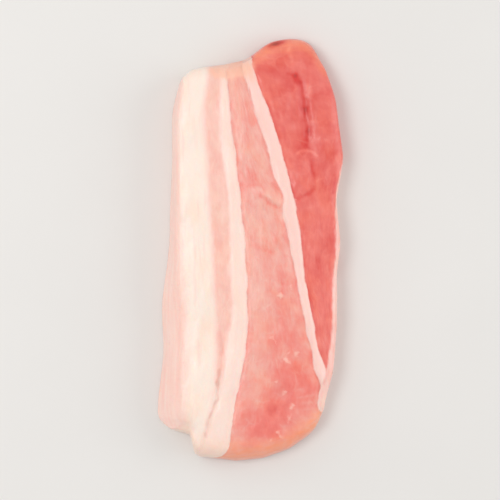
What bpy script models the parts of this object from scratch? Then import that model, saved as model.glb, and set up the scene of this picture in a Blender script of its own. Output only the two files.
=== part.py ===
"""A raw slice of pork belly that lies on one cut face and shows its layers on the other.

Lengths are in millimetres until the mesh is made. The skin is at -X and the inner side at +X,
the slice is long in Y, and its outline is centred on X = Y = 0 with the underside at Z = 0.
"""
import bpy
import numpy as np

MM = 0.001
NODE = "pork_belly_slice"

# driving sizes
LENGTH = 129.0
WIDTH = 56.5
SKIN_THICKNESS = 12.3
INNER_THICKNESS = 9.3
END_THINNING = 2.6  # how much is lost at the two trimmed ends
END_REACH = 17.0  # and over what length
INNER_UNDERCUT = 1.8  # how far the foot of the inner side is set in
NEAR_END_SLOPE = 2.2  # how far the foot of the near end stands out
SKIN_FULLNESS = 0.75  # below 1 the sloping skin bulges
SIDE_BULGE = 0.7  # of the other sides at half height

# rounds of the block that the slice is shaped from, at its low and high side along X, Y and Z
BLOCK = np.array([50.0, 116.0, 11.0])
LOW_ROUNDS = np.array([0.8, 2.6, 1.0])  # skin, near end, underside
HIGH_ROUNDS = np.array([2.8, 2.6, 2.4])  # inner side, far end, top
CELLS = (30, 70, 6)
RIM_CELLS = 2  # of these, in each rounded edge

# lines along the slice, as (Y, X)
SKIN_FOOT = [(-52, -28), (-45, -27.8), (-30, -26.5), (-16, -26.4), (4, -24.6), (43, -23.3), (52, -21.4)]
SKIN_RIM = [(-52, -20.4), (-33, -20.6), (-8, -21.3), (20, -21.6), (40, -21.5), (52, -20.3)]
INNER_RIM = [
    (-54, 21.4), (-45, 22.9), (-36, 25.3), (-22, 26.3), (-6, 26.3), (2, 27.4), (15.5, 26.1),
    (28, 28.3), (38, 26.9), (46, 25.9), (52, 24), (58, 21.8),
]

# the two trimmed ends, as (X, Y)
NEAR_END = [
    (-28, -51), (-24, -54.5), (-17.5, -56.4), (-17, -61.6), (-15.4, -62.8), (-4, -64.2), (4, -63.4),
    (12, -60.6), (17.2, -57), (20.2, -54.4), (22.4, -50.6),
]
NEAR_END_SOFTNESS = 1.2  # length over which its corners are eased
FAR_END = [
    (-22, 51), (-18.5, 54.6), (-12, 56.2), (-1, 58.6), (4.4, 62.2), (6.4, 63.6), (12, 64.6), (17, 64.2),
    (19.5, 62.6), (22.5, 57),
]
FAR_END_RIM = [
    (-21, 50), (-18.5, 54), (-12, 55), (-8, 54.2), (-1, 55.8), (4, 61), (6.4, 62.6), (12, 63.6), (17, 63),
    (22.5, 56),
]

# the lines between the layers, as (Y, X): fat cap, lean streak, fat band, broad muscle, fat strip,
# red muscle and the pale inner edge
LAYER_LINES = (
    [(-57, -14.4), (-46, -10.9), (-38, -9.3), (-26, -9.9), (-5, -10.3), (25, -12.5), (40, -13.5), (52, -12)],
    [(-57, -13.8), (-46, -9.9), (-38, -8.2), (-26, -6.9), (-19, -5.3), (1, -5.6), (21, -6.9), (52, -9)],
    [(-64, -7.2), (-45, -4), (-34, -2.1), (-22, -0.7), (-8, -0.6), (5, -1.4), (20, -3.1), (53, -6.4)],
    [
        (-53, 24.6), (-47.5, 20.4), (-43, 20.7), (-39.2, 21.6), (-37.4, 19.4), (-30, 18.5), (-26, 17.2),
        (-13, 14.4), (0, 12), (14, 9.6), (18, 9.2), (28, 6.2), (48, 0.2), (55, -2.2),
    ],
    [
        (-53, 25), (-47.5, 21), (-40, 22.2), (-36, 23.3), (-31, 21.1), (-24, 19.7), (-7, 16.3), (7, 14.9),
        (16, 13.4), (26, 11.2), (38, 7.6), (48, 3.6), (57, 0.4),
    ],
    [
        (-53, 24.8), (-47.5, 20.8), (-40, 21.9), (-35, 23.3), (-26, 24.3), (-12, 24.9), (2, 26), (20, 26.4),
        (28, 28.4),
    ],
)
LAYER_CROWNS = (0.5, -0.35, 0.35, 0.55, 0.35, -0.2, 0.0)


def line_at(position, points, soften=4.0):
    """Where a line through points runs, its corners eased over the length soften."""
    along, across = zip(*points)
    offsets = np.linspace(-0.5, 0.5, 9) * soften
    return np.mean([np.interp(position + offset, along, across) for offset in offsets], axis=0)


def mix(start, end, share):
    return start + (end - start) * share


def swell(x, y, middle, reach, turn, height):
    """A soft oval rise, or a hollow if height is negative; turn is in degrees."""
    angle = np.radians(turn)
    across = (x - middle[0]) * np.cos(angle) + (y - middle[1]) * np.sin(angle)
    along = (y - middle[1]) * np.cos(angle) - (x - middle[0]) * np.sin(angle)
    return height * np.exp(-((across / reach[0]) ** 2) - (along / reach[1]) ** 2)


def waves(x, y, wavelength, height, seed):
    """Gentle unevenness from a few sine waves in random directions."""
    random = np.random.default_rng(seed)
    total = np.zeros_like(x)
    for _ in range(5):
        direction = random.uniform(0.0, np.pi)
        number = 2.0 * np.pi / (wavelength * random.uniform(0.7, 1.4))
        phase = random.uniform(0.0, 2.0 * np.pi)
        total += np.sin(number * (x * np.cos(direction) + y * np.sin(direction)) + phase)
    return total * height / 5


def stations(cells, size, low_round, high_round):
    """Where the grid lines stand along one side of the block, closer in the rounded edges."""
    rim = np.arange(RIM_CELLS) / RIM_CELLS
    middle = np.linspace(low_round, size - high_round, cells - 2 * RIM_CELLS + 1)
    return np.concatenate([rim * low_round, middle, size - rim[::-1] * high_round])


def block_surface():
    """The grid over the block's six sides: points on it and the quads between them."""
    lines = [stations(*side) for side in zip(CELLS, BLOCK, LOW_ROUNDS, HIGH_ROUNDS)]
    numbers = {}
    quads = []
    for axis in range(3):
        across, along = (axis + 1) % 3, (axis + 2) % 3
        for level in (0, CELLS[axis]):
            for i in range(CELLS[across]):
                for j in range(CELLS[along]):
                    quad = []
                    for di, dj in ((0, 0), (1, 0), (1, 1), (0, 1)):
                        key = [0, 0, 0]
                        key[axis] = level
                        key[across] = i + di
                        key[along] = j + dj
                        quad.append(numbers.setdefault(tuple(key), len(numbers)))
                    quads.append(quad if level else quad[::-1])
    points = [[lines[axis][key[axis]] for axis in range(3)] for key in numbers]
    return np.array(points), quads


def round_block(points):
    """Pull the block's edges and corners in to their rounds; the result is shares of its sides."""
    core = np.clip(points, LOW_ROUNDS, BLOCK - HIGH_ROUNDS)
    reach = (points - core) / np.where(points < core, LOW_ROUNDS, HIGH_ROUNDS)
    reach /= np.linalg.norm(reach, axis=1, keepdims=True)
    return (core + reach * np.where(reach < 0.0, LOW_ROUNDS, HIGH_ROUNDS)) / BLOCK


def plan(share_x, share_y, share_z):
    """X and Y of a point, and the X that its layer has on the top face."""
    y = mix(-LENGTH / 2, LENGTH / 2, share_y)
    bulge = SIDE_BULGE * 4.0 * share_z * (1.0 - share_z)
    for _ in range(4):
        rim = line_at(y, SKIN_RIM)
        skin = mix(rim, line_at(y, SKIN_FOOT), (1.0 - share_z) ** SKIN_FULLNESS)
        skin = skin + waves(y, share_z * BLOCK[2], 26.0, 0.6, 5)
        inner_rim = line_at(y, INNER_RIM)
        inner = inner_rim + bulge - INNER_UNDERCUT * (1.0 - share_z)
        x = mix(skin, inner, share_x)
        near = line_at(x, NEAR_END, NEAR_END_SOFTNESS) + NEAR_END_SLOPE * share_z - bulge
        far = mix(line_at(x, FAR_END), line_at(x, FAR_END_RIM), share_z) + bulge
        y = mix(-LENGTH / 2, LENGTH / 2, share_y)
        y = y + (near + LENGTH / 2) * (1.0 - share_y) ** 3 + (far - LENGTH / 2) * share_y**3
    return x, y, mix(rim, inner_rim, share_x)


def layer_of(x, y):
    """The layer a place on the top face is in, 0 to 6, and how far across it is, 0 to 1."""
    lines = [line_at(y, SKIN_RIM)]
    for points in LAYER_LINES:
        lines.append(np.maximum(line_at(y, points), lines[-1] + 0.1))
    lines.append(np.maximum(line_at(y, INNER_RIM), lines[-1] + 0.4))
    layer = np.zeros(len(x), dtype=int)
    share = np.zeros(len(x))
    for number, (low, high) in enumerate(zip(lines, lines[1:])):
        inside = x >= low
        layer[inside] = number
        share[inside] = ((x - low) / (high - low))[inside]
    return layer, np.clip(share, 0.0, 1.0)


def relief(x, y):
    """How far the top face rises and falls from layer to layer and within them."""
    layer, share = layer_of(x, y)
    height = np.array(LAYER_CROWNS)[layer] * 4.0 * share * (1.0 - share)
    height += waves(x, y, 32.0, 0.8, 3) + waves(x, y, 13.0, 0.2, 12)
    height += swell(x, y, (10.6, 38.6), (4.8, 14.0), 17, -1.1)  # hollow in the red muscle
    height += swell(x, y, (16.8, 41.5), (1.6, 10.5), 7, -0.8)  # crease beside it
    height += swell(x, y, (15.8, 23.2), (2.8, 5.4), 10, 0.7)  # lump below the crease
    height += swell(x, y, (1.6, 23.4), (5.4, 3.4), 0, -0.6)  # dip above the flap
    height += swell(x, y, (6.2, 16.6), (4.2, 2.8), -32, 0.7)  # flap of the broad muscle
    height += swell(x, y, (6.8, -48.0), (4.4, 6.5), -37, -0.7)  # hollow at its near end
    height += swell(x, y, (-17.0, -48.0), (5.5, 5.0), 0, 0.7)  # bulb at the end of the fat cap
    height += swell(x, y, (-19.5, -53.2), (3.2, 1.5), -15, -0.9)  # dimple in the bulb
    return height


def thickness(share_x, x, y):
    """Thickness of the slice before the relief: thinner inwards and at both ends."""
    to_near = y - line_at(x, NEAR_END, NEAR_END_SOFTNESS)
    to_far = line_at(x, FAR_END) - y
    closeness = np.clip(1.0 - np.minimum(to_near, to_far) / END_REACH, 0.0, 1.0)
    return mix(SKIN_THICKNESS, INNER_THICKNESS, share_x**1.5) - END_THINNING * closeness**2


def slice_points(points):
    """The finished places of the block's points, fitted to the driving length and width."""
    share_x, share_y, share_z = round_block(points).T
    x, y, top_x = plan(share_x, share_y, share_z)
    z = share_z * (thickness(share_x, x, y) + relief(top_x, y))
    x = (x - x.min()) * WIDTH / np.ptp(x) - WIDTH / 2
    y = (y - y.min()) * LENGTH / np.ptp(y) - LENGTH / 2
    return np.column_stack([x, y, z])


def meat_material():
    material = bpy.data.materials.new("raw_pork")
    material.use_nodes = True
    shader = material.node_tree.nodes["Principled BSDF"]
    shader.inputs["Base Color"].default_value = (0.93, 0.52, 0.42, 1.0)
    shader.inputs["Roughness"].default_value = 0.35
    shader.inputs["Metallic"].default_value = 0.0
    return material


def build_slice():
    points, quads = block_surface()
    mesh = bpy.data.meshes.new(NODE)
    mesh.from_pydata((slice_points(points) * MM).tolist(), [], quads)
    mesh.validate()
    mesh.shade_smooth()
    mesh.materials.append(meat_material())
    bpy.context.scene.collection.objects.link(bpy.data.objects.new(NODE, mesh))


for old in list(bpy.data.objects):
    bpy.data.objects.remove(old)
build_slice()
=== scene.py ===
"""Looks of the raw pork belly slice: its layers, their tissue and wetness, the light and the camera.

Lengths are in millimetres until the mesh is made. The skin is at -X, the inner side at +X.
"""

import bpy
import numpy as np
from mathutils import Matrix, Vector, noise


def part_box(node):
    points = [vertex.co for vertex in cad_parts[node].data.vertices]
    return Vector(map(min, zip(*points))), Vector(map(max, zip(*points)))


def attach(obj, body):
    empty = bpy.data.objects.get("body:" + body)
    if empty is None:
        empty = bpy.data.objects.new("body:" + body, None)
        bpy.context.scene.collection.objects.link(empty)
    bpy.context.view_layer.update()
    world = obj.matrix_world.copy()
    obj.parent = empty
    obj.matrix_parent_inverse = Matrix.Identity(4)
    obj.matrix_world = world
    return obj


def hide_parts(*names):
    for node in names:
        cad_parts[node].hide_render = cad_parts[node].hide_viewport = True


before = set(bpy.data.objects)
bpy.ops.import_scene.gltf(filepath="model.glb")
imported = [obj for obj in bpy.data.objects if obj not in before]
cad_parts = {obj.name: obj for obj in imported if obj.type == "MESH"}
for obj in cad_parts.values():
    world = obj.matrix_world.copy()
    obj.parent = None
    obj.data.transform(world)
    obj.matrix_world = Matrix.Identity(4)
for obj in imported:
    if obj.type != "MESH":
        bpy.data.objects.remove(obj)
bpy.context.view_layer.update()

NODE = "pork_belly_slice"
MM = 0.001

# ---------------------------------------------------------------- driving sizes
LENGTH = 129.0
SKIN_THICKNESS = 12.3
INNER_THICKNESS = 9.3
END_THINNING = 2.6  # how much is lost at the two trimmed ends
END_REACH = 17.0  # and over what length
INNER_UNDERCUT = 1.8  # how far the foot of the inner side is set in
NEAR_END_SLOPE = 2.2  # how far the foot of the near end stands out
SKIN_FULLNESS = 0.75  # below 1 the sloping skin bulges
SIDE_BULGE = 0.7  # of the other sides at half height
LAYER_STRAY = 2.4  # how far the layers stray sideways on their way down
END_GLOW_FALL = 16.0  # how much farther in the foot of an end counts, so that the glow painted on it fades

# the block that the slice is shaped from, with its rounds at the low and high side along X, Y and Z
BLOCK = np.array([50.0, 116.0, 11.0])
LOW_ROUNDS = np.array([0.8, 2.6, 1.0])  # skin, near end, underside
HIGH_ROUNDS = np.array([2.8, 2.6, 2.4])  # inner side, far end, top
CELLS = (136, 296, 14)
RIM_CELLS = 4  # of these, in each rounded edge

# lines along the slice, as (Y, X)
SKIN_FOOT = [(-52, -28), (-45, -27.8), (-30, -26.5), (-16, -26.4), (4, -24.6), (43, -23.3), (52, -21.4)]
SKIN_RIM = [(-52, -20.4), (-33, -20.6), (-8, -21.3), (20, -21.6), (40, -21.5), (52, -20.3)]
INNER_RIM = [
    (-54, 21.4), (-45, 22.9), (-36, 25.3), (-22, 26.3), (-6, 26.3), (2, 27.4), (15.5, 26.1),
    (28, 28.3), (38, 26.9), (46, 25.9), (52, 24), (58, 21.8),
]

# how far in from the foot the skin's colour fades out, as (Y, distance)
SKIN_FADE = [(-45, 3.4), (-36, 4.2), (-10, 3.6), (20, 1.5), (50, 1.0)]

# the two trimmed ends, as (X, Y)
NEAR_END = [
    (-28, -51), (-24, -54.5), (-17.5, -56.4), (-17, -61.6), (-15.4, -62.8), (-4, -64.2), (4, -63.4),
    (12, -60.6), (17.2, -57), (20.2, -54.4), (22.4, -50.6),
]
NEAR_END_SOFTNESS = 1.2  # length over which its corners are eased
FAR_END = [
    (-22, 51), (-18.5, 54.6), (-12, 56.2), (-1, 58.6), (4.4, 62.2), (6.4, 63.6), (12, 64.6), (17, 64.2),
    (19.5, 62.6), (22.5, 57),
]
FAR_END_RIM = [
    (-21, 50), (-18.5, 54), (-12, 55), (-8, 54.2), (-1, 55.8), (4, 61), (6.4, 62.6), (12, 63.6),
    (17, 63), (22.5, 56),
]

# where each layer ends, from the skin inwards, as (Y, X); what comes last is the pale membrane
LAYER_ENDS = {
    "fat_cap": [
        (-57, -14.4), (-46, -10.9), (-38, -9.3), (-26, -9.9), (-5, -10), (12, -11.6), (30, -12.3),
        (40, -13.5), (52, -12.2),
    ],
    "streak": [
        (-57, -13.4), (-52, -11.4), (-46, -9.4), (-38, -7.9), (-26, -6.6), (-19, -5.3), (1, -5.8),
        (17, -6.5), (24, -7.3), (31, -8.6), (42, -9.2), (52, -9),
    ],
    "fat_band": [
        (-64, -7.2), (-45, -4), (-38, -2.4), (-33, -1.6), (-22, -0.8), (-8, -0.6), (5, -1.5), (20, -3.2),
        (38, -5.4), (53, -6.7),
    ],
    "broad_muscle": [
        (-53, 24.6), (-47.5, 20.2), (-43, 20.7), (-39.2, 21.6), (-37.4, 19.4), (-30, 18.7), (-26, 17.4),
        (-13, 14.8), (0, 12.3), (8, 10.8), (12, 9.5), (14.5, 10.3), (17, 10.4), (20, 8), (28, 5.9),
        (48, -0.1), (55, -2.4),
    ],
    "fat_strip": [
        (-53, 25), (-47.5, 21), (-40, 22.2), (-36, 23.3), (-31, 21), (-24, 19.7), (-7, 16.4), (2, 15.8),
        (7, 15), (16, 13.4), (20, 12.3), (26, 10.8), (38, 7.6), (48, 3.7), (57, 0.4),
    ],
    "red_muscle": [
        (-53, 24.8), (-47.5, 20.8), (-40, 21.9), (-35, 23.3), (-26, 24.5), (-12, 24.8), (2, 25.8),
        (20, 26.3), (28, 28.4),
    ],
}
LAYER_CROWNS = (0.5, -0.35, 0.35, 0.55, 0.35, -0.2, 0.0)
SEAM_DEPTHS = (0.1, 0.08, 0.25, 0.2, 0.2, 0.1)
SEAM_HALF_WIDTH = 0.6

# ---------------------------------------------------------------- soft ovals on the top face
# Each is a middle (X, Y), its reach across and along, its turn in degrees and its strength.
RELIEF = (  # strength is height
    ((10.6, 38.6), (4.8, 14), 17, -1.1),  # hollow in the red muscle
    ((16.8, 41.5), (1.6, 10.5), 7, -0.8),  # crease beside it
    ((15.8, 23.2), (2.8, 5.4), 10, 0.7),  # lump below the crease
    ((1.6, 23.4), (5.4, 3.4), 0, -0.6),  # dip above the flap
    ((6.2, 16.6), (4.2, 2.8), -32, 0.7),  # flap of the broad muscle
    ((6.8, -48), (4.4, 6.5), -37, -0.7),  # hollow at its near end
    ((-17, -48), (5.5, 5), 0, 0.7),  # bulb at the end of the fat cap
    ((-19.5, -53.2), (3.2, 1.5), -15, -0.9),  # dimple in the bulb
)
TONES = (  # strength is how much redder the lean is, or paler if below 0
    # red muscle, from the far end
    # the first paints the shade of the far end's face, seen below the notch in its rim
    ((8.2, 63.1), (3.3, 1.2), 20, 0.62),
    ((14.5, 62.5), (4, 2.4), -10, -0.1),
    ((5.6, 59.4), (3, 2.4), 0, -0.08),
    ((9, 56.5), (6, 3.4), 0, 0.05),
    ((21.4, 54), (3, 4), 0, -0.1),
    ((11, 43), (5, 10), 17, 0.07),
    ((18.5, 40), (7, 24), 8, 0.12),
    ((15.6, 35), (3.2, 6), 8, 0.08),
    ((11.6, 30), (2, 4), 8, -0.07),
    ((21, 12), (2.6, 4), 0, -0.12),
    ((26, 2), (2.4, 6), 0, 0.14),
    ((21, -6), (2.6, 4), 0, 0.16),
    ((21.5, -25), (2.6, 6), 0, -0.08),
    # broad muscle, far half
    ((-2.5, 43), (3, 7), 5, 0.06),
    ((1.4, 22.6), (7, 3), 0, 0.09),
    ((7, 17), (3, 2), -32, -0.04),
    ((1, 9), (3.4, 5), 0, -0.09),
    ((4.5, 1.5), (4, 6), 0, 0.06),
    # broad muscle, near half
    ((11.4, -10), (3.2, 6), 12, 0.15),
    ((2, -12), (3, 10), 3, -0.04),
    ((15, -27), (2.4, 8), 16, -0.08),
    ((13.6, -28), (4.8, 12), 18, 0.2),
    ((6, -28), (3, 12), 0, 0.07),
    # painted shade beside the fat band
    ((-2, -36), (3, 12), 0, 0.06),
    ((10, -37), (4, 3.4), 0, 0.12),
    ((14.4, -44), (7, 8), 0, 0.18),
    ((19, -45.6), (2.4, 3), 0, 0.1),
    ((22.8, -46), (1.4, 6), 0, -0.3),
    ((5.6, -50), (4.6, 8.6), -30, 0.28),
    ((19.4, -52), (2, 3.4), -25, -0.24),
    ((8.6, -54.6), (5.4, 3.2), 12, 0.2),
    ((-0.5, -55), (5, 5), 0, 0.12),
)
PEACH_PATCHES = (  # strength is how strongly the tissue turns pale peach
    ((-6.4, 55.4), (5.6, 3.4), 8, 1.5),  # brow of the far end, whose peach also paints light onto its shaded slope
    ((0, 53), (2.4, 6), 12, 0.5),  # the strip's far end
    ((-21.4, -52.4), (2.4, 1.1), 8, 0.55),  # shade painted into the dimple in the bulb
)
SPECKS = (  # small flecks of fat in the muscles; strength is how clear they are
    ((9.3, -13.5), (0.7, 1.3), 80, 1.1),
    ((12.4, -10.7), (0.6, 0.7), 0, 0.75),
    ((6.5, -26.1), (0.5, 1), 50, 0.75),
    ((7.9, -27.4), (0.5, 0.9), 40, 0.75),
    ((11.2, -33.1), (0.8, 1.1), 60, 1.1),
    ((11.4, -31), (0.4, 0.8), -10, 0.7),
    ((14.2, -31), (0.7, 1.2), -20, 0.65),
    ((8.1, -39.4), (0.6, 0.7), 0, 0.75),
    ((10.5, -42.9), (0.6, 1.1), 60, 0.75),
    ((12.9, -46.9), (0.9, 1.2), 50, 0.8),
    ((12, -50.6), (0.9, 1.7), -10, 0.75),
    ((8.6, -54.7), (0.6, 1), 30, 0.75),
    ((9.8, -56.2), (0.6, 1), 40, 0.8),
    ((6.4, -57.2), (0.4, 1.2), -60, 0.7),
    ((6.2, -60.4), (0.4, 1.3), -80, 0.65),
    ((14, 15.4), (0.4, 0.9), 80, 0.75),
)
BLURRED_CORNER = ((22, -52), (3.5, 3), 0, 0.7)  # where the last borders meet and run into each other

# Creases and thin ridges: the points (X, Y) they run through, half width, height and tone. A tone above
# 0 paints shade into a crease and one below 0 paints light onto a ridge.
CREASES = (
    # red muscle
    ([(14.1, 53), (15.9, 48.6), (16.2, 45.4), (16.6, 41), (18, 37.6), (17.2, 32)], 1.1, -0.15, 0.2),
    ([(16.6, 43), (16, 41)], 1.4, -0.15, 0.11),
    ([(14.4, 29.4), (15.4, 30.2), (17.2, 30.4), (19.4, 29.8), (20.3, 28.8)], 0.5, 0.1, -0.2),
    ([(18.7, 27), (18.7, 25), (19.5, 22), (19.3, 18.8), (18, 17.5), (14.4, 15.7)], 0.7, -0.15, 0.16),
    ([(25.4, 25), (25.7, 21.4), (25.2, 17.6)], 0.7, -0.15, 0.16),
    ([(11.9, 61), (12.6, 57.6)], 0.8, 0.05, -0.14),
    ([(17.6, 50), (18.2, 46.6)], 0.7, 0.05, -0.14),
    ([(9.2, 42), (9.6, 37)], 0.7, 0.05, -0.12),
    ([(6, 50), (7.4, 43.6), (10.4, 36), (12.6, 27)], 0.6, -0.05, 0.08),
    # the notch in the far rim, its shade painted
    ([(6, 62), (10.2, 63.6)], 0.7, -0.2, 0.1),
    ([(11.4, 53.4), (14.1, 53)], 0.6, -0.1, 0.12),
    # broad muscle and its flap
    ([(-3.4, 19.9), (3.4, 19.7)], 0.7, -0.05, 0.12),
    # a faint light spot painted on the flap
    ([(2.3, 18.7), (3.1, 18.4)], 0.6, 0.0, -0.08),
    ([(3.4, 16.5), (5.2, 15.2), (6.5, 13.9), (8.7, 12.9)], 0.6, -0.2, 0.2),
    ([(7.2, 20.6), (8.8, 18), (9.6, 16)], 0.5, -0.2, 0.14),
    ([(5.2, 17), (7.4, 15.2), (9.2, 14.4)], 0.6, 0.15, -0.1),
    ([(0.8, 1.8), (3.6, 0.4), (7, -0.4)], 0.8, -0.15, 0.08),
    ([(9.2, -2), (9.8, -14), (7.4, -30), (3.6, -44)], 0.9, -0.1, 0.04),
    ([(15.4, -44.2), (20.6, -43.4)], 0.4, 0.08, -0.1),
    ([(16, -46), (20.6, -45.6)], 0.4, 0.08, -0.1),
    ([(16.4, -47.8), (20.4, -47.6)], 0.4, 0.08, -0.1),
    # shade painted along the foot of the far end
    ([(-3.4, 56.8), (0.4, 58.8)], 0.5, -0.1, 0.7),
    # rims of the dimple in the bulb, the upper one a painted shadow line
    ([(-24.2, -52.4), (-21.6, -51.4), (-19.4, -52.2)], 0.8, -0.3, 0.12),
    ([(-26.6, -51.4), (-24.4, -53.6), (-20.8, -54.6)], 0.6, 0.3, 0.0),
    # the lean streak and the thin line it ends in
    ([(-8.8, -25), (-8.4, -31)], 0.9, 0.0, 0.16),
    ([(-9, -36), (-9.4, -40)], 0.8, 0.0, 0.26),
    ([(-9.4, -40), (-9.7, -44.4), (-11, -47.6), (-12.4, -51.6), (-12.9, -56)], 0.7, -0.1, 0.24),
)


# ---------------------------------------------------------------- the form, as in the solid
def line_at(position, points, soften=4.0):
    """Where a line through points runs, its corners eased over the length soften."""
    along, across = zip(*points)
    offsets = np.linspace(-0.5, 0.5, 9) * soften
    return np.mean([np.interp(position + offset, along, across) for offset in offsets], axis=0)


def mix(start, end, share):
    return start + (end - start) * share


def swell(x, y, middle, reach, turn, strength):
    """A soft oval rise, or a hollow if strength is negative; turn is in degrees."""
    angle = np.radians(turn)
    across = (x - middle[0]) * np.cos(angle) + (y - middle[1]) * np.sin(angle)
    along = (y - middle[1]) * np.cos(angle) - (x - middle[0]) * np.sin(angle)
    return strength * np.exp(-((across / reach[0]) ** 2) - (along / reach[1]) ** 2)


def swells(x, y, ovals):
    """The sum of several swells."""
    return sum(swell(x, y, *oval) for oval in ovals)


def waves(x, y, wavelength, height, seed):
    """Gentle unevenness from a few sine waves in random directions."""
    count = 5
    random = np.random.default_rng(seed)
    total = np.zeros_like(x)
    for _ in range(count):
        direction = random.uniform(0.0, np.pi)
        number = 2.0 * np.pi / (wavelength * random.uniform(0.7, 1.4))
        phase = random.uniform(0.0, 2.0 * np.pi)
        total += np.sin(number * (x * np.cos(direction) + y * np.sin(direction)) + phase)
    return total * height / count


def stations(cells, size, low_round, high_round):
    """Where the grid lines stand along one side of the block, closer in the rounded edges."""
    rim = np.arange(RIM_CELLS) / RIM_CELLS
    middle = np.linspace(low_round, size - high_round, cells - 2 * RIM_CELLS + 1)
    return np.concatenate([rim * low_round, middle, size - rim[::-1] * high_round])


def block_surface():
    """The grid over the block's six sides: points on it and the quads between them."""
    lines = [stations(*side) for side in zip(CELLS, BLOCK, LOW_ROUNDS, HIGH_ROUNDS)]
    numbers = {}
    quads = []
    for axis in range(3):
        across, along = (axis + 1) % 3, (axis + 2) % 3
        for level in (0, CELLS[axis]):
            for i in range(CELLS[across]):
                for j in range(CELLS[along]):
                    quad = []
                    for di, dj in ((0, 0), (1, 0), (1, 1), (0, 1)):
                        key = [0, 0, 0]
                        key[axis] = level
                        key[across] = i + di
                        key[along] = j + dj
                        quad.append(numbers.setdefault(tuple(key), len(numbers)))
                    quads.append(quad if level else quad[::-1])
    points = [[lines[axis][key[axis]] for axis in range(3)] for key in numbers]
    return np.array(points), quads


def round_block(points):
    """Pull the block's edges and corners in to their rounds; the result is shares of its sides."""
    core = np.clip(points, LOW_ROUNDS, BLOCK - HIGH_ROUNDS)
    reach = (points - core) / np.where(points < core, LOW_ROUNDS, HIGH_ROUNDS)
    reach /= np.linalg.norm(reach, axis=1, keepdims=True)
    return (core + reach * np.where(reach < 0.0, LOW_ROUNDS, HIGH_ROUNDS)) / BLOCK


def plan(share_x, share_y, share_z):
    """X and Y of a point, and the X that its layer has on the top face."""
    y = mix(-LENGTH / 2, LENGTH / 2, share_y)
    bulge = SIDE_BULGE * 4.0 * share_z * (1.0 - share_z)
    for _ in range(4):  # the ends depend on X and the sides on Y, so they are found in turns
        rim = line_at(y, SKIN_RIM)
        skin = mix(rim, line_at(y, SKIN_FOOT), (1.0 - share_z) ** SKIN_FULLNESS)
        skin = skin + waves(y, share_z * BLOCK[2], wavelength=26.0, height=0.6, seed=5)
        inner_rim = line_at(y, INNER_RIM)
        inner = inner_rim + bulge - INNER_UNDERCUT * (1.0 - share_z)
        x = mix(skin, inner, share_x)
        near = line_at(x, NEAR_END, NEAR_END_SOFTNESS) + NEAR_END_SLOPE * share_z - bulge
        far = mix(line_at(x, FAR_END), line_at(x, FAR_END_RIM), share_z) + bulge
        y = mix(-LENGTH / 2, LENGTH / 2, share_y)
        y = y + (near + LENGTH / 2) * (1.0 - share_y) ** 3 + (far - LENGTH / 2) * share_y**3
    return x, y, mix(rim, inner_rim, share_x)


def layer_lines(y):
    """X of the skin, of each layer's end and of the inner side at every y."""
    lines = [line_at(y, SKIN_RIM)]
    for points in LAYER_ENDS.values():
        lines.append(np.maximum(line_at(y, points), lines[-1] + 0.1))
    lines.append(np.maximum(line_at(y, INNER_RIM), lines[-1] + 0.4))
    return lines


def layer_crown(x, lines):
    """The soft bulge or sag of each layer between its two lines."""
    height = np.zeros_like(x)
    for crown, low, high in zip(LAYER_CROWNS, lines, lines[1:]):
        share = np.clip((x - low) / (high - low), 0.0, 1.0)
        height += crown * 4.0 * share * (1.0 - share)
    return height


def relief(x, y, lines):
    """How far the top face rises and falls from layer to layer and within them."""
    height = layer_crown(x, lines)
    height += waves(x, y, wavelength=32.0, height=0.8, seed=3)
    height += waves(x, y, wavelength=13.0, height=0.2, seed=12)
    return height + swells(x, y, RELIEF)


def end_distance(x, y):
    """How far a point is from the nearer trimmed end."""
    return np.minimum(y - line_at(x, NEAR_END, NEAR_END_SOFTNESS), line_at(x, FAR_END) - y)


def thickness(share_x, x, y):
    """Thickness of the slice before the relief: thinner inwards and at both ends."""
    closeness = np.clip(1.0 - end_distance(x, y) / END_REACH, 0.0, 1.0)
    return mix(SKIN_THICKNESS, INNER_THICKNESS, share_x**1.5) - END_THINNING * closeness**2


# ---------------------------------------------------------------- finer relief and tone
def grain(places, size, offset=0.0):
    """Smooth noise at every point, about -1 to 1, with features of the given sizes."""
    scaled = places / np.array(size) + offset
    return np.array([noise.noise(Vector(point)) for point in scaled])


def distance_to(x, y, points):
    """How far every place is from a chain of straight lines."""
    nearest = np.full(x.shape, np.inf)
    for (start_x, start_y), (end_x, end_y) in zip(points, points[1:]):
        run_x, run_y = end_x - start_x, end_y - start_y
        along = ((x - start_x) * run_x + (y - start_y) * run_y) / (run_x**2 + run_y**2)
        along = np.clip(along, 0.0, 1.0)
        nearest = np.minimum(nearest, np.hypot(x - start_x - along * run_x, y - start_y - along * run_y))
    return nearest


def crease_sums(places, x, y):
    """Height and tone of all creases, which wobble and fade in and out along their way; the tone paints
    shade into the creases and light onto the ridges.
    """
    x = x + 0.5 * grain(places, (2.5, 2.5, 2.5), offset=3.0)
    clearness = 0.9 + 0.6 * grain(places, (2.0, 2.0, 2.0), offset=13.0)
    height = np.zeros_like(x)
    tone = np.zeros_like(x)
    for line, half_width, crease_height, crease_light_and_shade in CREASES:
        share = clearness * np.exp(-((distance_to(x, y, line) / half_width) ** 2))
        height += crease_height * share
        tone += crease_light_and_shade * share
    return height, tone


def speck_share(places, x, y):
    """Near 1 in the middle of a fleck of fat, falling raggedly to 0 around it."""
    x = x + 0.8 * grain(places, (1.3, 1.3, 1.3), offset=41.0)
    y = y + 0.8 * grain(places, (1.3, 1.3, 1.3), offset=53.0)
    return swells(x, y, SPECKS)


def fine_relief(places, x, y, lines):
    """Seams between the layers, uneven flesh and small lumps that the solid is too coarse for."""
    height = 0.25 * grain(places, (5.0, 7.0, 5.0))
    height += 0.14 * grain(places, (1.8, 3.2, 1.8), offset=7.0)
    height += 0.05 * grain(places, (0.9, 1.4, 0.9), offset=17.0)
    seams = [
        depth * np.exp(-(((x - line) / SEAM_HALF_WIDTH) ** 2))
        for depth, line in zip(SEAM_DEPTHS, lines[1:])
    ]
    return height - np.max(seams, axis=0) + 0.1 * speck_share(places, x, y)


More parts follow.
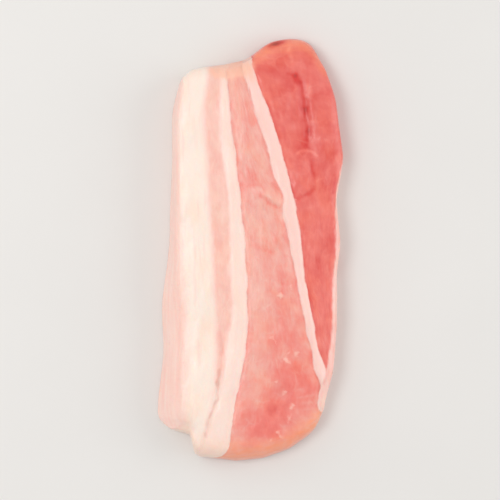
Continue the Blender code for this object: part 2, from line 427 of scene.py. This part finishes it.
def lean_tone_and_shade(places, x, y, lines):
    """How much darker and redder (above 0) or paler (below 0) the lean is at a place, with shade painted
    along the muscle borders and at the far end's notch.
    """
    muscle_borders = lines[3:6]
    painted_border_shade = np.max([np.exp(-(((x - line) / 0.8) ** 2)) for line in muscle_borders], axis=0)
    tone = painted_border_shade * (0.08 + 0.16 * grain(places, (3.0, 4.0, 3.0), offset=29.0))
    return tone + swells(x, y, TONES)


def straightened(x, lines):
    """X moved to where its layer is at mid-length, for detail that runs along the layers."""
    middle = layer_lines(0.0)
    across = np.full_like(x, middle[0])
    for low, high, start, end in zip(lines, lines[1:], middle, middle[1:]):
        width = np.maximum(high - low, (end - start) / 2)
        across += (end - start) * np.clip((x - low) / width, 0.0, 1.0)
    return across


def distance_inwards(x, y, top_x, share_z):
    """How far in a point is from the glow painted along its end, which is narrower at the far end."""
    distance = end_distance(x, y) + share_z + END_GLOW_FALL * (1.0 - share_z) ** 1.2
    far_distance = 1.4 * distance + np.interp(top_x, (-8.0, 2.0), (5.0, 1.5))
    return np.where(y > 0.0, far_distance, distance)


def facts_for_material(shares, places, top_x, lines, crease_light_and_shade):
    """What the material is told about every point, by name."""
    share_x, _, share_z = shares
    x, y, _ = places.T
    stray = waves(y, 3.0 * share_z, wavelength=30.0, height=LAYER_STRAY, seed=21)
    layer_x = top_x + (1.0 - share_z) * stray
    sharpness = 1.0 - swell(x, y, *BLURRED_CORNER)
    known = {
        "across": straightened(layer_x, lines),
        "skin_depth": share_x * BLOCK[0] / np.interp(y, *zip(*SKIN_FADE)),
        # the lean's tone, with shade painted along borders, into creases and at the notch, and light
        # painted onto ridges
        "tone": (lean_tone_and_shade(places, top_x, y, lines) + crease_light_and_shade) * share_z,
        # shade painted into the creases
        "crease": crease_light_and_shade * share_z**0.5,
        "streak_fade": np.clip((-30.0 - y) / 20.0, 0.0, 1.0),
        "end_distance": distance_inwards(x, y, top_x, share_z),
        "speck": speck_share(places, top_x, y) * share_z**4,
        "peach_share": swells(x, y, PEACH_PATCHES) * share_z**0.5,
    }
    for layer, points in LAYER_ENDS.items():
        known["past_" + layer] = (layer_x - line_at(y, points)) * sharpness
    return known


def fill_cad_box(places):
    """The places in metres, stretched to fill the solid's box exactly."""
    low, high = (np.array(corner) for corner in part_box(NODE))
    places = places - places.min(axis=0)
    return low + places * (high - low) / places.max(axis=0)


def slice_mesh():
    """The slice with its fine relief, and with the material's facts as attributes."""
    block, quads = block_surface()
    shares = round_block(block).T
    share_x, _, share_z = shares
    x, y, top_x = plan(*shares)
    lines = layer_lines(y)
    z = share_z * (thickness(share_x, x, y) + relief(top_x, y, lines))
    places = np.column_stack([x, y, z])
    crease_height, crease_light_and_shade = crease_sums(places, x, y)
    known = facts_for_material(shares, places, top_x, lines, crease_light_and_shade)
    z = z + share_z**2 * fine_relief(places, top_x, y, lines) + share_z * crease_height

    mesh = bpy.data.meshes.new("pork_belly")
    mesh.from_pydata(fill_cad_box(np.column_stack([x, y, z])).tolist(), [], quads)
    mesh.shade_smooth()
    for name, values in known.items():
        attribute = mesh.attributes.new(name, "FLOAT", "POINT")
        attribute.data.foreach_set("value", values.astype(np.float32))
    return mesh


# ---------------------------------------------------------------- material
class Nodes:
    """Short calls for the nodes of one material. An input is a value or another node's output."""

    def __init__(self, name):
        self.material = bpy.data.materials.new(name)
        self.material.use_nodes = True
        self.tree = self.material.node_tree
        self.shader = self.tree.nodes["Principled BSDF"]
        self.point = self.add("TexCoord", {}).outputs["Object"]

    def follow_layers(self):
        """From here on, detail runs along the layers instead of along Y."""
        straight = self.add("SeparateXYZ", {0: self.point}).outputs
        inputs = {"X": self.times(self.known("across"), MM), "Y": straight["Y"], "Z": straight["Z"]}
        self.point = self.add("CombineXYZ", inputs).outputs[0]

    def connect(self, socket, value):
        if isinstance(value, bpy.types.NodeSocket):
            self.tree.links.new(value, socket)
        else:
            socket.default_value = value

    def add(self, kind, inputs, **settings):
        made = self.tree.nodes.new("ShaderNode" + kind)
        for name, value in settings.items():
            setattr(made, name, value)
        for key, value in inputs.items():
            self.connect(made.inputs[key], value)
        return made

    def known(self, name):
        """What facts_for_material says about the point under that name."""
        return self.add("Attribute", {}, attribute_name=name).outputs["Fac"]

    def math(self, operation, first, second=0.0):
        return self.add("Math", {0: first, 1: second}, operation=operation).outputs[0]

    def sum(self, *values):
        total = values[0]
        for value in values[1:]:
            total = self.math("ADD", total, value)
        return total

    def times(self, first, second):
        return self.math("MULTIPLY", first, second)

    def around_zero(self, value, width):
        """Noise that lies around 0.5 moved to lie around 0, and made width times as strong."""
        return self.times(self.math("SUBTRACT", value, 0.5), width)

    def place(self, size, stretch=(1.0, 1.0, 1.0), offset=0.0, warp=0.0):
        """The point in steps of size millimetres, longer along an axis by its stretch, bent by warp."""
        scale = [1.0 / (MM * size * longer) for longer in stretch]
        inputs = {"Vector": self.point, "Location": (offset,) * 3, "Scale": scale}
        straight = self.add("Mapping", inputs).outputs[0]
        if not warp:
            return straight
        bend = self.add("TexNoise", {"Vector": straight, "Scale": 0.7, "Detail": 1.0}).outputs["Color"]
        inputs = {0: bend, 1: (warp,) * 3, 2: straight}
        return self.add("VectorMath", inputs, operation="MULTIPLY_ADD").outputs[0]

    def noise(self, size, detail=2.0, roughness=0.5, **place):
        """Noise around 0.5 whose features are size millimetres."""
        point = self.place(size, **place)
        inputs = {"Vector": point, "Scale": 1.0, "Detail": detail, "Roughness": roughness}
        return self.add("TexNoise", inputs).outputs["Fac"]

    def cells(self, size, feature="F1", **place):
        """Distance from the middle of a cell, or from its edge, in cells of size millimetres."""
        inputs = {"Vector": self.place(size, **place), "Scale": 1.0}
        return self.add("TexVoronoi", inputs, feature=feature).outputs["Distance"]

    def step(self, value, start, end, low=0.0, high=1.0):
        """Goes smoothly from low to high as value goes from start to end."""
        inputs = {"Value": value, "From Min": start, "From Max": end, "To Min": low, "To Max": high}
        return self.add("MapRange", inputs, interpolation_type="SMOOTHSTEP").outputs["Result"]

    def blend(self, share, first, second):
        """Colour first where share is 0 and second where it is 1."""
        return self.add("Mix", {0: share, 6: first, 7: second}, data_type="RGBA").outputs[2]

    def choose(self, share, first, second):
        """The same for plain numbers."""
        return self.add("Mix", {0: share, 2: first, 3: second}, data_type="FLOAT").outputs[0]

    def ramp(self, value, stops):
        """A colour that runs through stops, each a position from 0 to 1 and a colour."""
        made = self.add("ValToRGB", {0: value})
        elements = made.color_ramp.elements
        while len(elements) < len(stops):
            elements.new(0.5)
        for element, (position, colour) in zip(elements, stops):
            element.position = position
            element.color = colour
        return made.outputs["Color"]

    def bump(self, height):
        """A normal from a height in millimetres."""
        return self.add("Bump", {"Height": height, "Strength": 1.0, "Distance": MM}).outputs["Normal"]


def srgb(red, green, blue):
    """A colour as it looks on screen, 0 to 255, in the linear values that shaders take."""
    shares = np.array([red, green, blue]) / 255.0
    linear = np.where(shares <= 0.04045, shares / 12.92, ((shares + 0.055) / 1.055) ** 2.4)
    return (*linear.tolist(), 1.0)


LEAN_COLOURS = (  # from pale to deep red
    (0.0, srgb(251, 204, 190)), (0.24, srgb(243, 177, 164)), (0.48, srgb(240, 130, 119)),
    (0.8, srgb(217, 61, 56)), (1.0, srgb(168, 50, 40)),
)
WARM_LEAN_COLOURS = (
    (0.0, srgb(252, 205, 186)), (0.24, srgb(246, 179, 158)), (0.48, srgb(245, 131, 108)),
    (0.8, srgb(221, 64, 48)), (1.0, srgb(172, 53, 36)),
)
STREAK_REDNESS = 0.1
BROAD_MUSCLE_REDNESS = 0.35
RED_MUSCLE_REDNESS = 0.7
FAT = srgb(252, 232, 219)
FAT_WARM = srgb(253, 226, 209)
FAT_PINK = srgb(253, 209, 199)
FAT_SHADE = srgb(228, 180, 166)  # painted shade in the creases of the fat
FLECK = srgb(254, 200, 184)
SKIN = srgb(255, 218, 206)
SKIN_DARK = srgb(254, 203, 190)
# a warm glow painted along the thin trimmed ends, in lean and in fat
LEAN_PAINTED_GLOW = srgb(254, 155, 110)  # in the lean
FAT_PAINTED_GLOW = srgb(255, 217, 198)
PEACH = srgb(255, 197, 173)
LEAST_PINKNESS = {"cap": 0.0, "band": 0.35, "strip": 0.95}
BORDERS = {  # how soft each layer ends, in millimetres
    "fat_cap": 0.8, "streak": 0.6, "fat_band": 0.25, "broad_muscle": 0.3, "fat_strip": 0.25,
    "red_muscle": 0.4,
}


def fat_tissue(n):
    """Waxy fat with faint streaks along its layer; its colour and its height in millimetres."""
    streaks = n.noise(1.3, detail=3.0, stretch=(1, 9, 3), warp=0.3)
    clouds = n.noise(7.0, detail=3.0, stretch=(1, 2, 1))
    lobes = n.cells(2.6, "SMOOTH_F1", stretch=(1, 2, 1), warp=0.6)
    pits = n.noise(0.6, detail=3.0)
    colour = n.blend(n.step(clouds, 0.4, 0.7), FAT, FAT_WARM)
    colour = n.blend(n.step(streaks, 0.5, 0.75, high=0.4), colour, FAT_PINK)
    height = n.sum(n.times(streaks, 0.08), n.times(lobes, -0.1), n.times(pits, 0.03))
    return colour, height


def lean_tissue(n):
    """How red the lean is apart from its muscle, its thin lines of fat and its height in millimetres."""
    bundles = n.cells(1.5, "SMOOTH_F1", stretch=(1, 2.6, 1.6), warp=0.7)
    sheaths = n.step(n.cells(1.9, "DISTANCE_TO_EDGE", stretch=(1, 2.6, 1.6), warp=1.2), 0.14, 0.0)
    sheaths = n.times(sheaths, n.step(n.noise(3.4, detail=3.0, offset=5.0), 0.42, 0.68))
    fibres = n.noise(0.55, detail=3.0, roughness=0.55, stretch=(1, 5, 3), warp=0.3)
    mottle = n.noise(2.6, detail=4.0, stretch=(1, 1.6, 1), warp=0.5)
    clouds = n.noise(8.0, stretch=(1, 1.6, 1), offset=21.0)
    redness = n.sum(
        n.times(bundles, -0.1),
        n.times(sheaths, -0.07),
        n.times(fibres, 0.18),
        n.times(mottle, 0.4),
        n.times(clouds, 0.25),
        # the tone carries the painted shade of borders, creases and the notch and the painted light of
        # ridges
        n.known("tone"),
        -0.385,  # brings the sum of the above back to about 0
    )
    fatness = n.math("ADD", n.known("speck"), n.noise(1.1, detail=4.0, roughness=0.6, warp=1.0))
    marbling = n.step(fatness, 0.7, 1.5, high=0.78)
    height = n.sum(
        n.times(bundles, -0.12),
        n.times(sheaths, -0.03),
        n.times(fibres, 0.06),
        n.times(mottle, 0.25),
        n.times(marbling, 0.04),
    )
    return redness, marbling, height


def skin_tissue(n):
    """Pale skin with pores and fine wrinkles, and its height in millimetres."""
    pores = n.step(n.cells(1.6, warp=0.5), 0.24, 0.06)
    wrinkles = n.noise(1.0, detail=4.0, roughness=0.6, stretch=(1, 1, 3), warp=0.8)
    streaks = n.noise(1.6, detail=4.0, roughness=0.6, stretch=(1, 9, 1), warp=0.3)
    colour = n.blend(n.step(streaks, 0.25, 0.75), SKIN, SKIN_DARK)
    colour = n.blend(n.times(pores, 0.35), colour, SKIN_DARK)
    return colour, n.sum(n.times(wrinkles, 0.1), n.times(pores, -0.06))


def frayed_edges(n):
    """How far a point is past each layer's frayed end, and the shift that frays them."""
    wander = n.around_zero(n.noise(5.0, stretch=(1, 2.2, 1)), 1.5)
    fray = n.around_zero(n.noise(1.8, detail=5.0, roughness=0.6, stretch=(1, 2.4, 1), warp=0.5), 1.4)
    shift = n.math("ADD", wander, fray)
    return {layer: n.math("ADD", n.known("past_" + layer), shift) for layer in LAYER_ENDS}, shift


def fats_by_layer(n, fat, edges):
    """The fat of each layer, which turns pink close to a border."""
    nearest = 9.0  # farther than any border counts
    for edge in edges.values():
        nearest = n.math("MINIMUM", nearest, n.math("ABSOLUTE", edge))
    bloom = n.step(n.math("ADD", nearest, n.known("streak_fade")), 2.0, 0.0, high=0.7)
    return {
        layer: n.blend(n.math("MAXIMUM", bloom, least), fat, FAT_PINK)
        for layer, least in LEAST_PINKNESS.items()
    }


def lean_of(n, redness, marbling, base):
    """The lean of a muscle whose own redness is base, warmer in some patches."""
    warmth = n.step(n.noise(5.0, detail=3.0, stretch=(1, 1.6, 1), offset=31.0), 0.42, 0.7, high=0.5)
    redder = n.times(n.math("ADD", redness, base), 0.8)
    shade = n.blend(warmth, n.ramp(redder, LEAN_COLOURS), n.ramp(redder, WARM_LEAN_COLOURS))
    return n.blend(marbling, shade, FLECK)


def layered_colour(n, past, fats, redness, marbling):
    """The layers side by side, from the fat cap to the membrane."""
    broad_muscle = lean_of(n, redness, marbling, BROAD_MUSCLE_REDNESS)
    red_muscle = lean_of(n, redness, marbling, RED_MUSCLE_REDNESS)
    frayed_end = n.math("ADD", n.known("streak_fade"), n.noise(1.8, detail=3.0, stretch=(1, 3, 1)))
    streak = lean_of(n, redness, marbling, STREAK_REDNESS)
    streak = n.blend(n.step(frayed_end, 0.7, 1.2), streak, fats["band"])
    thinness = n.step(n.noise(5.0, detail=4.0), 0.4, 0.75, low=0.3, high=0.65)
    membrane = n.blend(thinness, fats["strip"], broad_muscle)
    inwards = (streak, fats["band"], broad_muscle, fats["strip"], red_muscle, membrane)
    colour = fats["cap"]
    for layer, next_colour in zip(LAYER_ENDS, inwards):
        colour = n.blend(past[layer], colour, next_colour)
    return colour


def painted_glow_and_peach(n, colour, lean_share, shift):
    """The colour with a warm glow painted along the thin trimmed ends, and with the peach patches."""
    unevenness = n.around_zero(n.noise(2.4, detail=4.0, roughness=0.6), 5.0)
    inwards = n.sum(n.known("end_distance"), unevenness, n.times(n.known("tone"), 8.0))
    patches = n.step(n.noise(1.5, detail=4.0, roughness=0.6), 0.3, 0.7, low=0.5, high=0.95)
    # a warm glow painted along the thin trimmed ends
    painted_glow = n.times(n.step(inwards, 12.0, 1.5), patches)
    colour = n.blend(painted_glow, colour, n.blend(lean_share, FAT_PAINTED_GLOW, LEAN_PAINTED_GLOW))
    # peach patches; in the bulb's dimple they are painted shade
    peach_share = n.math("ADD", n.known("peach_share"), n.times(shift, 0.3))
    return n.blend(n.step(peach_share, 0.25, 0.8, high=0.85), colour, PEACH)


def raw_pork():
    """Raw fat, lean and skin, told apart by how far a point is past the end of each layer."""
    n = Nodes("raw_pork")
    n.follow_layers()
    edges, shift = frayed_edges(n)
    past = {layer: n.step(edges[layer], -soft, soft) for layer, soft in BORDERS.items()}
    lean_share = n.math("SUBTRACT", past["fat_band"], past["broad_muscle"])
    lean_share = n.sum(lean_share, n.math("SUBTRACT", past["fat_strip"], past["red_muscle"]))

    fat, fat_height = fat_tissue(n)
    redness, marbling, lean_height = lean_tissue(n)
    skin, skin_height = skin_tissue(n)
    colour = layered_colour(n, past, fats_by_layer(n, fat, edges), redness, marbling)
    colour = painted_glow_and_peach(n, colour, lean_share, shift)
    fat_share = n.math("SUBTRACT", 1.0, lean_share)
    # shade painted into the creases of the fat
    painted_crease_shade = n.times(n.step(n.known("crease"), 0.05, 0.35, high=0.8), fat_share)
    colour = n.blend(painted_crease_shade, colour, FAT_SHADE)
    rind = n.step(n.math("ADD", n.known("skin_depth"), n.times(shift, 0.2)), 1.0, 0.0)
    colour = n.blend(rind, colour, skin)
    height = n.choose(lean_share, fat_height, lean_height)
    height = n.choose(rind, height, skin_height)

    moist = n.noise(6.0, detail=3.0, offset=11.0)
    fat_roughness = n.step(moist, 0.3, 0.7, low=0.5, high=0.38)
    lean_roughness = n.step(moist, 0.3, 0.7, low=0.48, high=0.32)

    shader = n.shader
    n.connect(shader.inputs["Base Color"], colour)
    n.connect(shader.inputs["Roughness"], n.choose(lean_share, fat_roughness, lean_roughness))
    n.connect(shader.inputs["Normal"], n.bump(height))
    shader.inputs["Subsurface Weight"].default_value = 0.25
    shader.inputs["Subsurface Radius"].default_value = (1.0, 0.45, 0.3)
    shader.inputs["Subsurface Scale"].default_value = MM
    shader.inputs["Coat Weight"].default_value = 0.25
    shader.inputs["Coat Roughness"].default_value = 0.28
    shader.inputs["Coat IOR"].default_value = 1.36
    return n.material


# ---------------------------------------------------------------- the slice, the stage and the light
FLOOR_HALF = 3.0  # metres
FLOOR_GAP = 0.0001  # metres below the slice, so that the two faces don't flicker
LIGHT_COLOUR = (1.0, 0.99, 0.98)
LIGHTS = (  # name, place and size in metres, power in watts
    ("key", (-0.34, 0.04, 0.68), 0.3, 1.6),
    ("right", (0.72, 0.06, 0.34), 0.6, 2.2),
    ("left", (-0.56, 0.42, 0.34), 0.6, 0.9),
)
SURROUND_COLOUR = (1.0, 0.995, 0.99, 1.0)
SURROUND_STRENGTH = 0.62
SENSOR_WIDTH = 36.0
CAMERA_HEIGHT = 0.6  # metres
SHARE_OF_FRAME = 0.84  # that the slice's length takes up


def dress_slice():
    piece = bpy.data.objects.new("pork_belly", slice_mesh())
    bpy.context.scene.collection.objects.link(piece)
    piece.data.materials.append(raw_pork())
    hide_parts(NODE)
    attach(piece, "root")


def pale_floor():
    n = Nodes("pale_floor")
    shade = n.blend(n.noise(40.0, detail=3.0), srgb(228, 226, 223), srgb(232, 230, 227))
    n.connect(n.shader.inputs["Base Color"], shade)
    n.shader.inputs["Roughness"].default_value = 0.6
    return n.material


def floor():
    """A plain pale floor that the slice lies on."""
    mesh = bpy.data.meshes.new("floor")
    signs = ((-1, -1), (1, -1), (1, 1), (-1, 1))
    mesh.from_pydata([(FLOOR_HALF * x, FLOOR_HALF * y, 0) for x, y in signs], [], [(0, 1, 2, 3)])
    mesh.materials.append(pale_floor())
    piece = bpy.data.objects.new("floor", mesh)
    piece.location.z = -FLOOR_GAP
    bpy.context.scene.collection.objects.link(piece)


def area_light(name, place, size, power):
    """A square soft light that faces the slice."""
    data = bpy.data.lights.new(name, "AREA")
    data.size = size
    data.energy = power
    data.color = LIGHT_COLOUR
    light = bpy.data.objects.new(name, data)
    light.location = place
    light.rotation_euler = (-Vector(place)).to_track_quat("-Z", "Y").to_euler()
    bpy.context.scene.collection.objects.link(light)


def studio():
    """A soft light from above left, weaker ones from both sides and a pale surround."""
    for light in LIGHTS:
        area_light(*light)
    world = bpy.data.worlds.new("pale")
    world.use_nodes = True
    surround = world.node_tree.nodes["Background"].inputs
    surround["Color"].default_value = SURROUND_COLOUR
    surround["Strength"].default_value = SURROUND_STRENGTH
    bpy.context.scene.world = world
    bpy.context.scene.view_settings.view_transform = "Standard"


def camera():
    """Looks straight down on the slice, its long way up the picture."""
    data = bpy.data.cameras.new("camera")
    data.sensor_width = SENSOR_WIDTH
    data.lens = SENSOR_WIDTH * CAMERA_HEIGHT * SHARE_OF_FRAME / (LENGTH * MM)
    data.clip_start = 0.01
    data.clip_end = 20.0
    view = bpy.data.objects.new("camera", data)
    view.location = (0.0, 0.0, CAMERA_HEIGHT)
    bpy.context.scene.collection.objects.link(view)
    bpy.context.scene.camera = view


dress_slice()
floor()
studio()
camera()
